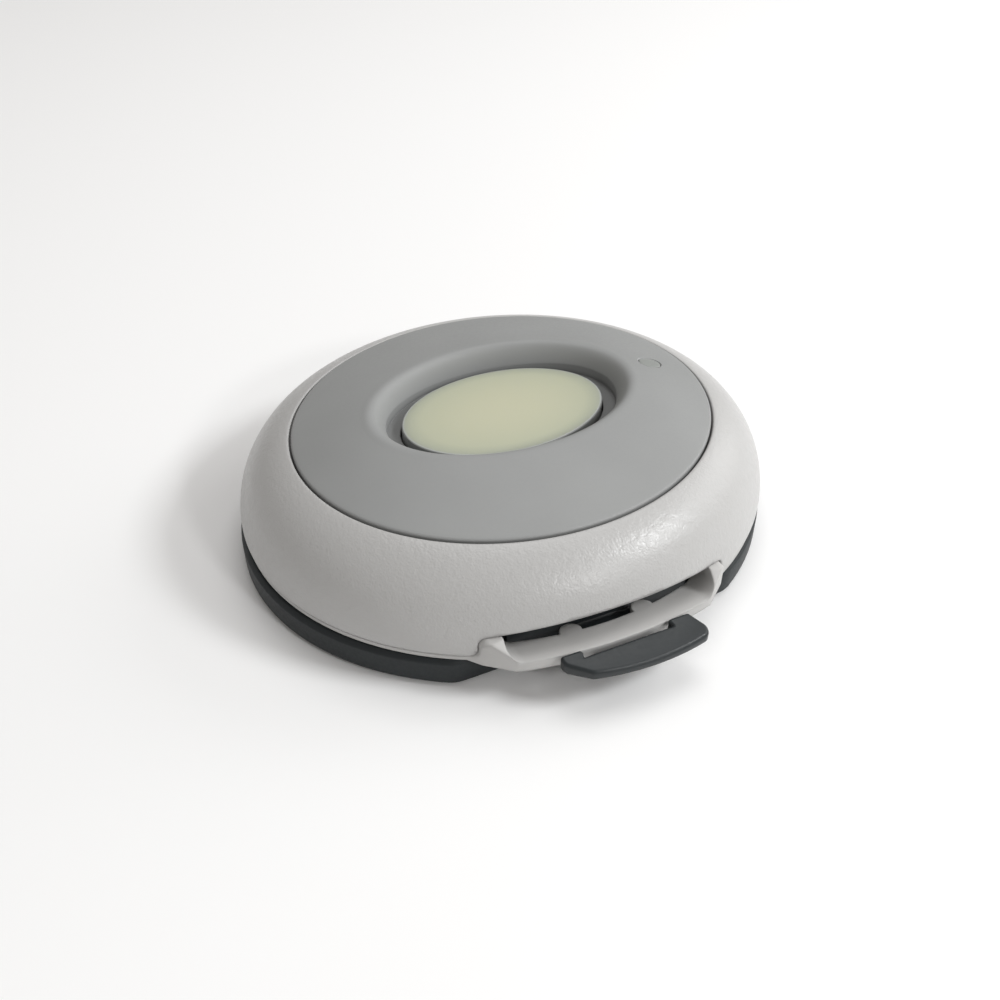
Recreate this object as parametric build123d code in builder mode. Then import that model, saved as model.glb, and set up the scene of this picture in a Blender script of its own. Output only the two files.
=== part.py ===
from build123d import *
from math import acos, cos, radians, sin
import os

# A palm-sized panic button: a domed two-colour housing with a recessed glowing button,
# clipped by a thumb latch onto a dark wall or table cradle.
# Millimetres. X runs along the long axis, -Y points to the strap lug and latch, Z is up.
# The origin is on the table, under the centre of the cradle.

os.makedirs("parts", exist_ok=True)

# Plan of the housing: the mouth that holds the bezel, and what lies outside and inside it
mouth_half_length = 21.3
mouth_half_width = 18.8
shell_spread = 5.6
dome_run_length = 7.7
dome_run_width = 9.6
scoop_run_length = 1.6
scoop_run_width = 1.3
moat_length = 1.55
moat_width = 1.0

# Cradle and its pad
cradle_side_margin = 0.3
cradle_back_inset = 0.25
cradle_floor = 1.6
cradle_wall = 1.5
cradle_rim = 3.0
cradle_edge_bevel = 0.35
cradle_rim_bevel = 0.4
cradle_corner_radius = 3.0
front_rail = 1.9
wall_screw_spacing = 30.0
wall_screw_hole = 3.4
wall_screw_head = 5.2
pad_half_length = 11.0
pad_half_width = 15.0
pad_thickness = 0.8
pad_proud = 0.2
guard_half_length = 9.2
guard_thickness = 1.0
guard_rise = 3.4
key_width = 5.0
key_depth = 0.9
key_height = 1.2

# Latch that holds the housing by its lug
knuckle_radius = 0.7
knuckle_clearance = 0.05
knuckle_inset = 0.45
knuckle_rise = 2.1
arm_half_width = 3.4
arm_thickness = 0.9
foot_radius = 0.8
web_gap = 0.3
web_thickness = 0.9
web_step = 0.5
tab_rise = 0.2
tab_thickness = 0.95
tab_reach = 3.3
tab_ear = 1.3
tab_corner_radius = 0.9
tab_cut_width = 2.0
tab_cut_back = 1.6
tab_front_crown = 0.75
tab_edge_bevel = 0.2
notch_half_width = 4.4
nose_width = 2.0
nose_length = 0.75
nose_draft = 0.2
nose_corner_radius = 0.3
latch_gap = 0.2

# Top shell
side_height = 0.5
shell_tuck = 0.15
shell_start_angle = 17.0
shell_wall = 1.8
shoulder_drop = 4.0
roof_drop = 2.0
seat_depth = 1.3
seat_width = 1.5
cutout_half_width = 12.4
cutout_height = 3.15
cutout_crown = 0.9
cutout_corner_radius = 0.9
cutout_flare = 1.0
cutout_run_out = 1.0
brow_thickness = 1.1
boss_relief = 0.3

# Back cover
seat_gap = 0.1
pan_gap = 0.4
pan_floor = 1.2
lip_rise = 0.45
lip_thickness = 0.45
lip_inset = 0.05
parting_gap = 0.1
tongue_gap = 0.1
tongue_wall = 1.2
tongue_height = 2.0
gasket_thickness = 0.8
gasket_width = 0.85
alcove_depth = 7.0
alcove_cheek = 1.0

# Strap lug on the front of the back cover, each place measured back from its tip
lug_proud = 1.0
lug_overhang = 4.75
lug_corner_inset = 2.65
lug_corner_back = 1.25
lug_shoulder_inset = 0.2
lug_shoulder_back = 3.2
lug_side_back = 4.6
lug_rim = 1.2
lug_rim_back = 1.05
lug_sweep_back = 2.1
lug_sweep_rise = 0.9
lug_top_back = 3.6
lug_floor_drop = 0.5
lug_sag = 0.25
trough_inset = 2.0
trough_corner_radius = 1.5
trough_back = 6.2
slot_back = 2.8
slot_end_inset = 3.25
slot_end_back = 4.4
slot_cheek = 1.2
strap_rib_x = 3.65
strap_rib_radius = 1.05
strap_rib_sink = 0.4

# Bezel disc and its finger recess
seam_gap = 0.2
bezel_edge_rise = 0.15
crest_rise = 2.4
crest_power = 1.2
recess_lip_rise = 0.2
scoop_power = 1.6
moat_depth = 0.7
moat_floor = 1.0
moat_wall = 1.0
clip_width = 4.0
clip_thickness = 1.0
clip_play = 0.15
clip_nose = 0.6
clip_nose_height = 0.8

# Button
button_proud = 0.35
button_gap = 0.17
button_plate = 0.85
inlay_depth = 0.5
inlay_rim = 0.45
button_skirt = 1.15
button_flange = 1.0
flange_thickness = 0.8
button_travel = 0.6
stop_gap = 0.1
plunger_radius = 1.6
plunger_length = 0.6

# Circuit board and what it carries
board_end_inset = 6.4
board_side_inset = 4.9
board_ear_inset = 3.1
board_ear_width = 10.0
board_thickness = 1.0
board_screw_inset_x = 4.0
board_screw_inset_y = 1.5
pillar_radius = 1.5
rest_size = 2.4
board_screw_radius = 0.7
board_screw_head_radius = 1.3
board_screw_head = 0.7
board_screw_length = 3.2
switch_size = 6.0
switch_height = 1.9
switch_stem_radius = 1.5
switch_stem_depth = 0.3
switch_corner_radius = 0.4
return_skirt_wall = 0.8
chip_size = 3.5
chip_height = 0.9
chip_gap = 0.8
shield_length = 8.0
shield_width = 4.6
shield_height = 1.4
shield_wall = 0.2
shield_x = -3.5
shield_inset = 2.7
crystal_length = 3.2
crystal_width = 1.5
crystal_height = 0.9
crystal_gap = 2.5
crystal_corner_radius = 0.4
antenna_length = 7.0
antenna_width = 2.0
antenna_height = 1.2
antenna_inset = 2.2
led_inset = 4.7
led_length = 1.6
led_width = 0.8
led_height = 0.8
small_part_length = 1.6
small_part_width = 0.8
small_part_height = 0.6
small_part_pitch = 2.6
small_part_count = 6
small_part_inset = 2.4

# Light window
pipe_radius = 1.2
pipe_clearance = 0.05
pipe_collar_radius = 1.7
pipe_collar = 0.8
pipe_air_gap = 0.4

# Coin cell and its contacts
cell_radius = 10.0
cell_height = 3.2
cell_cap_radius = 8.6
cell_cap_height = 0.3
cell_bevel = 0.4
holder_gap = 0.25
holder_wall = 1.0
holder_post = 6.0
holder_height = 2.6
contact_rise = 0.9
contact_thickness = 0.2
contact_width = 4.0
contact_reach = 12.2

# Screws that join the back cover to the top shell
cover_screw_inset_x = 3.8
cover_screw_inset_y = 8.8
cover_screw_radius = 0.8
cover_screw_head_radius = 1.5
cover_screw_head = 0.5
cover_screw_length = 5.5
screw_gap = 0.05
boss_radius = 1.9

# Heights from the table up: cradle, back cover and strap lug
cradle_bottom = pad_proud
cradle_deck = cradle_bottom + cradle_floor
pan_bottom = cradle_deck + seat_gap
pan_deck = pan_bottom + pan_floor
boss_bottom = pan_deck + parting_gap
lip_bottom = pan_deck + lip_rise
lip_top = lip_bottom + lip_thickness
shell_bottom = lip_top + parting_gap
widest_height = shell_bottom + side_height
tongue_top = lip_top + tongue_height
gasket_top = tongue_top + gasket_thickness
cutout_top = shell_bottom + cutout_height
brow_top = cutout_top + brow_thickness
guard_height = cradle_deck + guard_rise
latch_pivot_height = cradle_bottom + knuckle_rise
lug_rim_height = lip_bottom + lug_rim
lug_sweep_height = lug_rim_height + lug_sweep_rise
tab_top = lug_rim_height + tab_rise

# Heights from the coin cell up: board, switch, button and bezel
cell_bottom = pan_deck + contact_thickness
cell_top = cell_bottom + cell_height
board_height = cell_top + contact_rise
board_top = board_height + board_thickness
switch_top = board_top + switch_height
stem_top = switch_top + button_travel + stop_gap
plate_bottom = stem_top + plunger_length
inlay_floor = plate_bottom + button_plate
button_top = inlay_floor + inlay_depth
lip_height = button_top - button_proud
seam_height = lip_height - recess_lip_rise
crest_height = seam_height + crest_rise
bezel_edge_height = seam_height + bezel_edge_rise
bezel_seat = seam_height - seat_depth
roof_under = seam_height - roof_drop
shoulder_height = seam_height - shoulder_drop
moat_height = lip_height - moat_depth
cup_bottom = moat_height - moat_floor
clip_foot = roof_under - clip_play - clip_nose_height
flange_top = cup_bottom - stop_gap
flange_bottom = flange_top - flange_thickness
pipe_bottom = board_top + led_height + pipe_air_gap

# Places in plan worked out from the mouth
shell_half_length = mouth_half_length + shell_spread
shell_half_width = mouth_half_width + shell_spread
cradle_half_length = shell_half_length + cradle_side_margin
cradle_half_width = shell_half_width - cradle_back_inset
housing_half_length = shell_half_length - shell_wall - shell_tuck
housing_half_width = shell_half_width - shell_wall - shell_tuck
pan_half_length = cradle_half_length - cradle_wall - pan_gap
pan_half_width = cradle_half_width - cradle_wall - pan_gap
bezel_half_length = mouth_half_length - seam_gap
bezel_half_width = mouth_half_width - seam_gap
crest_half_length = mouth_half_length - dome_run_length
crest_half_width = mouth_half_width - dome_run_width
lip_half_length = crest_half_length - scoop_run_length
lip_half_width = crest_half_width - scoop_run_width
button_half_length = lip_half_length - moat_length
button_half_width = lip_half_width - moat_width
board_half_length = mouth_half_length - board_end_inset
board_half_width = mouth_half_width - board_side_inset
board_ear_reach = mouth_half_length - board_ear_inset
led_x = mouth_half_length - led_inset
cover_screw_x = mouth_half_length - cover_screw_inset_x
cover_screw_y = mouth_half_width - cover_screw_inset_y
board_screw_x = cover_screw_x - board_screw_inset_x
board_screw_y = cover_screw_y - board_screw_inset_y
chip_x = -(switch_size + chip_size) / 2 - chip_gap
shield_y = board_half_width - shield_inset
crystal_x = shield_x + (shield_length + crystal_length) / 2 + crystal_gap
antenna_x = antenna_inset - board_ear_reach
small_part_y = small_part_inset - board_half_width

# Places of the strap lug and the latch
lug_reach = shell_half_width + lug_proud
lug_corner_x = cutout_half_width - lug_corner_inset
lug_corner_y = lug_reach - lug_corner_back
lug_shoulder_x = cutout_half_width - lug_shoulder_inset
lug_shoulder_y = lug_reach - lug_shoulder_back
lug_side_y = lug_reach - lug_side_back
lug_rim_y = lug_reach - lug_rim_back
lug_sweep_y = lug_reach - lug_sweep_back
lug_top_y = lug_reach - lug_top_back
alcove_front = lug_reach - alcove_depth
trough_half_width = cutout_half_width - trough_inset
trough_end_y = lug_reach - trough_back
slot_reach = lug_reach - slot_back
slot_end_x = cutout_half_width - slot_end_inset
slot_end_y = lug_reach - slot_end_back
cradle_flat_front = lug_reach - lug_overhang
nose_outer = notch_half_width + nose_width
tab_half_width = nose_outer + tab_ear
nose_tip_y = lug_reach - lug_sag + latch_gap
notch_y = nose_tip_y + nose_length
web_outer_y = lug_reach + web_gap + web_thickness
tab_front_y = nose_tip_y + tab_reach
tab_corner_y = tab_front_y - tab_front_crown
knuckle_y = cradle_flat_front - knuckle_inset
far = 30.0


def shell_spread_at(height):
    """How far the shell stands out beyond its mouth at a height."""
    if height <= widest_height:
        drop = (widest_height - height) / (widest_height - shell_bottom)
        return shell_spread - shell_tuck * drop**2
    start = radians(shell_start_angle)
    share = (seam_height - height) / (seam_height - widest_height)
    turn = acos(cos(start) * (1 - share))
    return shell_spread * (sin(turn) - sin(start)) / (1 - sin(start))


def shell_levels(low, high, count):
    """Heights for the shell's rings, an equal turn of its rounded side apart."""
    start = radians(shell_start_angle)
    turns = [radians(90) - (radians(90) - start) * i / count for i in range(count + 1)]
    return [low + (high - low) * cos(turn) / cos(start) for turn in turns]


def between(first, last, share):
    """A value part of the way from the first to the last."""
    return first + (last - first) * share


def dome_ring(share):
    """Half length, half width and height of a ring from the seam up to the crest."""
    return (
        between(bezel_half_length, crest_half_length, share),
        between(bezel_half_width, crest_half_width, share),
        between(bezel_edge_height, crest_height, 1 - (1 - share) ** crest_power),
    )


def scoop_ring(share):
    """Half length, half width and height of a ring from the crest down to the lip."""
    return (
        between(crest_half_length, lip_half_length, share),
        between(crest_half_width, lip_half_width, share),
        between(crest_height, lip_height, share**scoop_power),
    )


def corner_places(x, y):
    """The four mirrored places of one screw."""
    return [(x, y), (-x, y), (x, -y), (-x, -y)]


def diagonal_places(x, y):
    """A place and the one across the centre from it."""
    return [(x, y), (-x, -y)]


def housing_outline(inset):
    """Plan of the sealed chamber, which steps back behind the strap slot."""
    Ellipse(housing_half_length - inset, housing_half_width - inset)
    with Locations((0, -alcove_front + inset)):
        Rectangle(
            2 * (cutout_half_width + inset),
            far,
            align=(Align.CENTER, Align.MAX),
            mode=Mode.SUBTRACT,
        )


def cradle_outline(inset, front):
    """Plan of the cradle: an ellipse with a flat front."""
    Ellipse(cradle_half_length - inset, cradle_half_width - inset)
    with Locations((0, -front)):
        Rectangle(3 * far, far, align=(Align.CENTER, Align.MAX), mode=Mode.SUBTRACT)


def cutout_outline(inset):
    """Front view of the arched opening over the strap slot, flared where it meets the lip."""
    side = cutout_half_width - inset
    top = cutout_top - inset
    shoulder = top - cutout_crown
    foot = side + cutout_flare
    flare_top = shell_bottom + cutout_flare
    corner = side - cutout_corner_radius
    low = lip_bottom - cutout_run_out
    turn = sin(radians(45))
    with BuildLine() as outline:
        Polyline((0, low), (foot, low), (foot, shell_bottom))
        ThreePointArc(
            (foot, shell_bottom),
            (foot - cutout_flare * turn, flare_top - cutout_flare * turn),
            (side, flare_top),
        )
        Line((side, flare_top), (side, shoulder - cutout_corner_radius))
        ThreePointArc(
            (side, shoulder - cutout_corner_radius),
            (corner + cutout_corner_radius * turn, shoulder - cutout_corner_radius * (1 - turn)),
            (corner, shoulder),
        )
        TangentArc((0, top), (corner, shoulder), tangent=(1, 0))
        mirror(about=Plane.YZ)
    make_face(outline.edges())


# Mounting pad: a thin foam disc let into the underside of the cradle
with BuildPart() as mounting_pad:
    with BuildSketch(Plane.XY):
        Ellipse(pad_half_length, pad_half_width)
    extrude(amount=pad_thickness)
mounting_pad.part.label = "mounting_pad"
export_step(mounting_pad.part, "parts/mounting_pad.step")

# Cradle: a shallow dish with a flat front, a guard rail in the strap slot and a latch socket
with BuildPart() as cradle:
    with BuildSketch(Plane.XY.offset(cradle_bottom)) as cradle_plan:
        cradle_outline(0, cradle_flat_front)
        fillet(cradle_plan.vertices(), radius=cradle_corner_radius)
    extrude(amount=cradle_rim)
    chamfer(cradle.edges().group_by(Axis.Z)[0], length=cradle_edge_bevel)
    chamfer(cradle.edges().group_by(Axis.Z)[-1], length=cradle_rim_bevel)
    with BuildSketch(Plane.XY.offset(cradle_deck)) as dish_plan:
        cradle_outline(cradle_wall, cradle_flat_front - front_rail)
        fillet(dish_plan.vertices(), radius=cradle_corner_radius - cradle_wall)
    extrude(amount=cradle_rim, mode=Mode.SUBTRACT)
    with BuildSketch(Plane.XY.offset(cradle_deck)):
        with Locations((0, -cradle_flat_front)):
            Rectangle(
                2 * guard_half_length, guard_thickness, align=(Align.CENTER, Align.MIN)
            )
    extrude(amount=guard_height - cradle_deck)
    with BuildSketch(Plane.XY.offset(cradle_deck)):
        with Locations((0, cradle_half_width - cradle_wall / 2)):
            Rectangle(key_width, key_depth + cradle_wall / 2, align=(Align.CENTER, Align.MAX))
    extrude(amount=key_height)
    with BuildSketch(Plane.YZ):
        with Locations((-knuckle_y, latch_pivot_height)):
            Circle(knuckle_radius + knuckle_clearance)
    extrude(amount=arm_half_width + latch_gap, both=True, mode=Mode.SUBTRACT)
    with BuildSketch(Plane.XY):
        Ellipse(pad_half_length + seat_gap, pad_half_width + seat_gap)
    extrude(amount=pad_thickness, mode=Mode.SUBTRACT)
    with Locations(Plane.XY.offset(cradle_deck)):
        with GridLocations(wall_screw_spacing, 0, 2, 1):
            CounterSinkHole(wall_screw_hole / 2, wall_screw_head / 2)
cradle.part.label = "cradle"
export_step(cradle.part, "parts/cradle.step")

# Latch: a springy arm on a round root, with two noses over the lug and a thumb tab whose
# left front corner is cut back
with BuildPart() as latch_tab:
    arm_bottom = latch_pivot_height - arm_thickness / 2
    with BuildSketch(Plane.YZ) as arm_profile:
        with Locations((-web_outer_y, arm_bottom)):
            Rectangle(web_outer_y - knuckle_y, arm_thickness, align=(Align.MIN, Align.MIN))
            Rectangle(
                web_thickness, tab_top - arm_bottom - web_step, align=(Align.MIN, Align.MIN)
            )
        outer_foot = arm_profile.vertices().sort_by(Axis.X)[:2].sort_by(Axis.Y)[0]
        fillet(outer_foot, radius=foot_radius)
    extrude(amount=arm_half_width, both=True)
    with BuildSketch(Plane.YZ):
        with Locations((-knuckle_y, latch_pivot_height)):
            Circle(knuckle_radius)
    extrude(amount=arm_half_width, both=True)
    with BuildSketch(Plane.XY.offset(tab_top - tab_thickness)) as tab_plan:
        with BuildLine():
            tab_front = ThreePointArc(
                (tab_cut_width - nose_outer, -tab_corner_y),
                ((tab_half_width - nose_outer + tab_cut_width) / 2, -tab_front_y),
                (tab_half_width, -tab_corner_y),
            )
            Polyline(
                tab_front @ 1,
                (nose_outer, -nose_tip_y),
                (notch_half_width - nose_draft, -nose_tip_y),
                (notch_half_width, -notch_y),
                (-notch_half_width, -notch_y),
                (nose_draft - notch_half_width, -nose_tip_y),
                (-nose_outer, -nose_tip_y),
                (-nose_outer, tab_cut_back - tab_corner_y),
                tab_front @ 0,
            )
        make_face()
        front_corners = tab_plan.vertices().group_by(Axis.Y)[0]
        cut_corner = tab_plan.vertices().sort_by(Axis.X)[:2].sort_by(Axis.Y)[0]
        fillet([*front_corners, cut_corner], radius=tab_corner_radius)
        nose_corners = tab_plan.vertices().group_by(Axis.Y)[-1]
        fillet(nose_corners, radius=nose_corner_radius)
    extrude(amount=tab_thickness)
    tab_edges = latch_tab.edges().group_by(Axis.Z)[-1]
    chamfer(tab_edges, length=tab_edge_bevel)
latch_tab.part.label = "latch_tab"
export_step(latch_tab.part, "parts/latch_tab.step")

# Top shell: a grained dome with a mouth for the bezel and an arched opening at the front
with BuildPart() as top_shell:
    for height in [shell_bottom] + shell_levels(widest_height, seam_height, 4):
        spread = shell_spread_at(height)
        with BuildSketch(Plane.XY.offset(height)):
            Ellipse(mouth_half_length + spread, mouth_half_width + spread)
    loft(ruled=True)
    with BuildSketch(Plane.XY.offset(shell_bottom)):
        Ellipse(housing_half_length, housing_half_width)
    extrude(amount=gasket_top - shell_bottom, mode=Mode.SUBTRACT)
    for low, high in ((gasket_top, shoulder_height), (shoulder_height, roof_under)):
        reach = shell_spread_at(high) - shell_wall
        with BuildSketch(Plane.XY.offset(low)):
            Ellipse(mouth_half_length + reach, mouth_half_width + reach)
        extrude(amount=high - low, mode=Mode.SUBTRACT)
    with BuildSketch(Plane.XY.offset(roof_under)):
        Ellipse(mouth_half_length - seat_width, mouth_half_width - seat_width)
    extrude(amount=seam_height - roof_under, mode=Mode.SUBTRACT)
    with BuildSketch(Plane.XY.offset(bezel_seat)):
        Ellipse(mouth_half_length, mouth_half_width)
    extrude(amount=seam_height - bezel_seat, mode=Mode.SUBTRACT)
    with BuildSketch(Plane.XY.offset(gasket_top)):
        reach = shell_spread_at(brow_top) - shell_wall / 2
        Ellipse(mouth_half_length + reach, mouth_half_width + reach)
        with Locations((0, -alcove_front + tongue_wall)):
            Rectangle(
                2 * (cutout_half_width + tongue_wall),
                far,
                align=(Align.CENTER, Align.MAX),
                mode=Mode.INTERSECT,
            )
    extrude(amount=brow_top - gasket_top)
    with BuildSketch(Plane.XY.offset(boss_bottom)):
        with Locations(corner_places(cover_screw_x, cover_screw_y)):
            Circle(boss_radius)
    extrude(amount=bezel_seat - boss_bottom - boss_relief)
    with BuildSketch(Plane.XY.offset(boss_bottom)):
        with Locations(corner_places(cover_screw_x, cover_screw_y)):
            Circle(cover_screw_radius + screw_gap)
    extrude(amount=cover_screw_length, mode=Mode.SUBTRACT)
    with BuildSketch(Plane.XZ.offset(alcove_front)):
        cutout_outline(0)
    extrude(amount=far - alcove_front, mode=Mode.SUBTRACT)
top_shell.part.label = "top_shell"
export_step(top_shell.part, "parts/top_shell.step")

# Strap lug: a scooped tray on the front of the back cover, with two ribs in the slot
with BuildPart() as lug:
    with BuildSketch(Plane.XY.offset(lip_bottom)):
        with BuildLine():
            TangentArc((0, -lug_reach), (lug_corner_x, -lug_corner_y), tangent=(1, 0))
            Polyline(
                (lug_corner_x, -lug_corner_y),
                (lug_shoulder_x, -lug_shoulder_y),
                (cutout_half_width + cutout_flare, -lug_side_y),
                (cutout_half_width + cutout_flare, -alcove_front),
                (cutout_half_width - alcove_cheek, -alcove_front),
                (cutout_half_width - alcove_cheek, -slot_end_y + slot_cheek),
                (slot_end_x, -slot_end_y),
            )
            TangentArc((0, -slot_reach), (slot_end_x, -slot_end_y), tangent=(1, 0))
            mirror(about=Plane.YZ)
        make_face()
        with Locations((0, -slot_reach + strap_rib_sink)):
            with GridLocations(2 * strap_rib_x, 0, 2, 1):
                Circle(strap_rib_radius)
    extrude(amount=cutout_top - lip_bottom)
    with BuildSketch(Plane.XZ.offset(alcove_front)):
        cutout_outline(tongue_gap)
    extrude(amount=far - alcove_front, mode=Mode.INTERSECT)
    floor_tilt = lug_floor_drop / (lug_reach - slot_reach)
    with BuildSketch(Plane.YZ):
        with BuildLine():
            Polyline(
                (-alcove_front, lip_bottom),
                (-far, lip_bottom),
                (-far, lug_rim_height),
                (-lug_rim_y, lug_rim_height),
            )
            ThreePointArc(
                (-lug_rim_y, lug_rim_height),
                (-lug_sweep_y, lug_sweep_height),
                (-lug_top_y, cutout_top),
            )
            Polyline(
                (-lug_top_y, cutout_top), (-alcove_front, cutout_top), (-alcove_front, lip_bottom)
            )
        make_face()
    extrude(amount=far, both=True, mode=Mode.INTERSECT)
    trough_plane = Plane(
        origin=(0, -lug_reach, lug_rim_height), x_dir=(-1, 0, 0), z_dir=(0, 1, -floor_tilt)
    )
    with BuildSketch(trough_plane) as trough:
        Rectangle(2 * trough_half_width, 2 * cutout_top, align=(Align.CENTER, Align.MIN))
        fillet(trough.vertices().group_by(Axis.Y)[0], radius=trough_corner_radius)
    extrude(amount=lug_reach - trough_end_y, mode=Mode.SUBTRACT)

# Back cover: the pan that closes the housing, with a tongue, a lip and the strap lug
with BuildPart() as back_cover:
    with BuildSketch(Plane.XY.offset(pan_bottom)):
        Ellipse(pan_half_length, pan_half_width)
        with Locations((0, -alcove_front)):
            Rectangle(3 * far, far, align=(Align.CENTER, Align.MAX), mode=Mode.SUBTRACT)
    extrude(amount=lip_bottom - pan_bottom)
    with BuildSketch(Plane.XY.offset(lip_bottom)):
        foot = shell_spread - shell_tuck - lip_inset
        Ellipse(mouth_half_length + foot, mouth_half_width + foot)
        with Locations((0, -alcove_front)):
            Rectangle(
                2 * (cutout_half_width - alcove_cheek),
                far,
                align=(Align.CENTER, Align.MAX),
                mode=Mode.SUBTRACT,
            )
    extrude(amount=lip_top - lip_bottom)
    with BuildSketch(Plane.XY.offset(lip_top)):
        housing_outline(tongue_gap)
    extrude(amount=tongue_top - lip_top)
    with BuildSketch(Plane.XY.offset(lip_top)):
        housing_outline(tongue_gap + tongue_wall)
    extrude(amount=tongue_top - lip_top, mode=Mode.SUBTRACT)
    with BuildSketch(Plane.XY.offset(pan_deck)):
        housing_outline(tongue_gap + tongue_wall)
        with Locations((0, -alcove_front + tongue_wall)):
            Rectangle(3 * far, far, align=(Align.CENTER, Align.MAX), mode=Mode.SUBTRACT)
    extrude(amount=lip_top - pan_deck, mode=Mode.SUBTRACT)
    add(lug.part)
    with BuildSketch(Plane.XY.offset(pan_bottom)):
        with Locations(corner_places(cover_screw_x, cover_screw_y)):
            Circle(cover_screw_radius + screw_gap)
    extrude(amount=pan_floor, mode=Mode.SUBTRACT)
    with BuildSketch(Plane.XY.offset(pan_bottom)):
        with Locations(corner_places(cover_screw_x, cover_screw_y)):
            Circle(cover_screw_head_radius + screw_gap)
    extrude(amount=cover_screw_head + screw_gap, mode=Mode.SUBTRACT)
    with BuildSketch(Plane.XY.offset(pan_deck)):
        with Locations(diagonal_places(board_screw_x, board_screw_y)):
            Circle(pillar_radius)
        with Locations(diagonal_places(-board_screw_x, board_screw_y)):
            Rectangle(rest_size, rest_size)
    extrude(amount=board_height - pan_deck)
    with BuildSketch(Plane.XY.offset(board_top - board_screw_length)):
        with Locations(diagonal_places(board_screw_x, board_screw_y)):
            Circle(board_screw_radius + screw_gap)
    extrude(amount=board_screw_length, mode=Mode.SUBTRACT)
    with BuildSketch(Plane.XY.offset(pan_deck)):
        Circle(cell_radius + holder_gap + holder_wall)
        Circle(cell_radius + holder_gap, mode=Mode.SUBTRACT)
        with PolarLocations(cell_radius, 4, start_angle=45):
            Rectangle(holder_post, holder_post, mode=Mode.INTERSECT)
    extrude(amount=holder_height)
    with BuildSketch(Plane.XY.offset(pan_bottom)):
        with Locations((0, cradle_half_width - cradle_wall - key_depth - seat_gap)):
            Rectangle(key_width + 2 * pan_gap, far, align=(Align.CENTER, Align.MIN))
    extrude(amount=pan_floor, mode=Mode.SUBTRACT)
back_cover.part.label = "back_cover"
export_step(back_cover.part, "parts/back_cover.step")

# Gasket: a flat rubber ring on the tongue, following it round the alcove
with BuildPart() as gasket:
    with BuildSketch(Plane.XY.offset(tongue_top)):
        housing_outline(tongue_gap)
    extrude(amount=gasket_thickness)
    with BuildSketch(Plane.XY.offset(tongue_top)):
        housing_outline(tongue_gap + gasket_width)
    extrude(amount=gasket_thickness, mode=Mode.SUBTRACT)
gasket.part.label = "gasket"
export_step(gasket.part, "parts/gasket.step")

# Cover screws: four pan-head screws let into the underside of the back cover
with BuildPart() as cover_screws:
    with BuildSketch(Plane.XY.offset(pan_bottom + screw_gap)):
        with Locations(corner_places(cover_screw_x, cover_screw_y)):
            Circle(cover_screw_head_radius)
    extrude(amount=cover_screw_head - screw_gap)
    with BuildSketch(Plane.XY.offset(pan_bottom + cover_screw_head)):
        with Locations(corner_places(cover_screw_x, cover_screw_y)):
            Circle(cover_screw_radius)
    extrude(amount=cover_screw_length)
cover_screws.part.label = "cover_screws"
export_step(cover_screws.part, "parts/cover_screws.step")

# Bezel: a grey disc rising to a crest, scooped down to a moat round the button
with BuildPart() as bezel_dome:
    for share in (0, 0.25, 0.5, 0.75, 1):
        half_length, half_width, height = dome_ring(share)
        with BuildSketch(Plane.XY.offset(height)):
            Ellipse(half_length, half_width)
    loft(ruled=True)

with BuildPart() as bezel:
    add(bezel_dome.part)
    with BuildSketch(Plane.XY.offset(bezel_seat)):
        Ellipse(bezel_half_length, bezel_half_width)
    extrude(amount=bezel_edge_height - bezel_seat)
    for share in (0, 0.25, 0.6, 1):
        half_length, half_width, height = scoop_ring(share)
        with BuildSketch(Plane.XY.offset(height)):
            Ellipse(half_length, half_width)
    loft(ruled=True, mode=Mode.SUBTRACT)
    with BuildSketch(Plane.XY.offset(cup_bottom)):
        Ellipse(lip_half_length + moat_wall, lip_half_width + moat_wall)
    extrude(amount=moat_floor)
    with BuildSketch(Plane.XY.offset(moat_height)):
        Ellipse(lip_half_length, lip_half_width)
    extrude(amount=lip_height - moat_height, mode=Mode.SUBTRACT)
    with BuildSketch(Plane.XY.offset(cup_bottom)):
        Ellipse(button_half_length + button_gap, button_half_width + button_gap)
    extrude(amount=moat_floor, mode=Mode.SUBTRACT)
    with BuildSketch(Plane.XY.offset(cup_bottom)):
        with Locations((led_x, 0)):
            Circle(pipe_radius + pipe_clearance)
    extrude(amount=crest_height - cup_bottom, mode=Mode.SUBTRACT)
    for reach, turn in (
        (mouth_half_length - seat_width - clip_play, 0),
        (mouth_half_width - seat_width - clip_play, 90),
    ):
        for angle in (turn, turn + 180):
            clip_plane = Plane.XZ.rotated((0, 0, angle)).offset(-clip_width / 2)
            with BuildSketch(clip_plane):
                with Locations((reach, bezel_seat)):
                    Rectangle(
                        clip_thickness, bezel_seat - clip_foot, align=(Align.MAX, Align.MAX)
                    )
                with Locations((reach, clip_foot)):
                    Rectangle(clip_nose, clip_nose_height, align=(Align.MIN, Align.MIN))
            extrude(amount=clip_width)
bezel.part.label = "bezel"
export_step(bezel.part, "parts/bezel.step")

# Light pipe: a clear rod from the board's lamp to a window flush with the bezel
with BuildPart() as light_pipe:
    add(bezel_dome.part)
    with BuildSketch(Plane.XY.offset(bezel_edge_height)):
        with Locations((led_x, 0)):
            Circle(pipe_radius)
    extrude(amount=crest_height - bezel_edge_height, mode=Mode.INTERSECT)
    with BuildSketch(Plane.XY.offset(bezel_edge_height)):
        with Locations((led_x, 0)):
            Circle(pipe_radius)
    extrude(amount=pipe_bottom - bezel_edge_height)
    with BuildSketch(Plane.XY.offset(bezel_seat)):
        with Locations((led_x, 0)):
            Circle(pipe_collar_radius)
    extrude(amount=-pipe_collar)
light_pipe.part.label = "light_pipe"
export_step(light_pipe.part, "parts/light_pipe.step")

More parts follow.
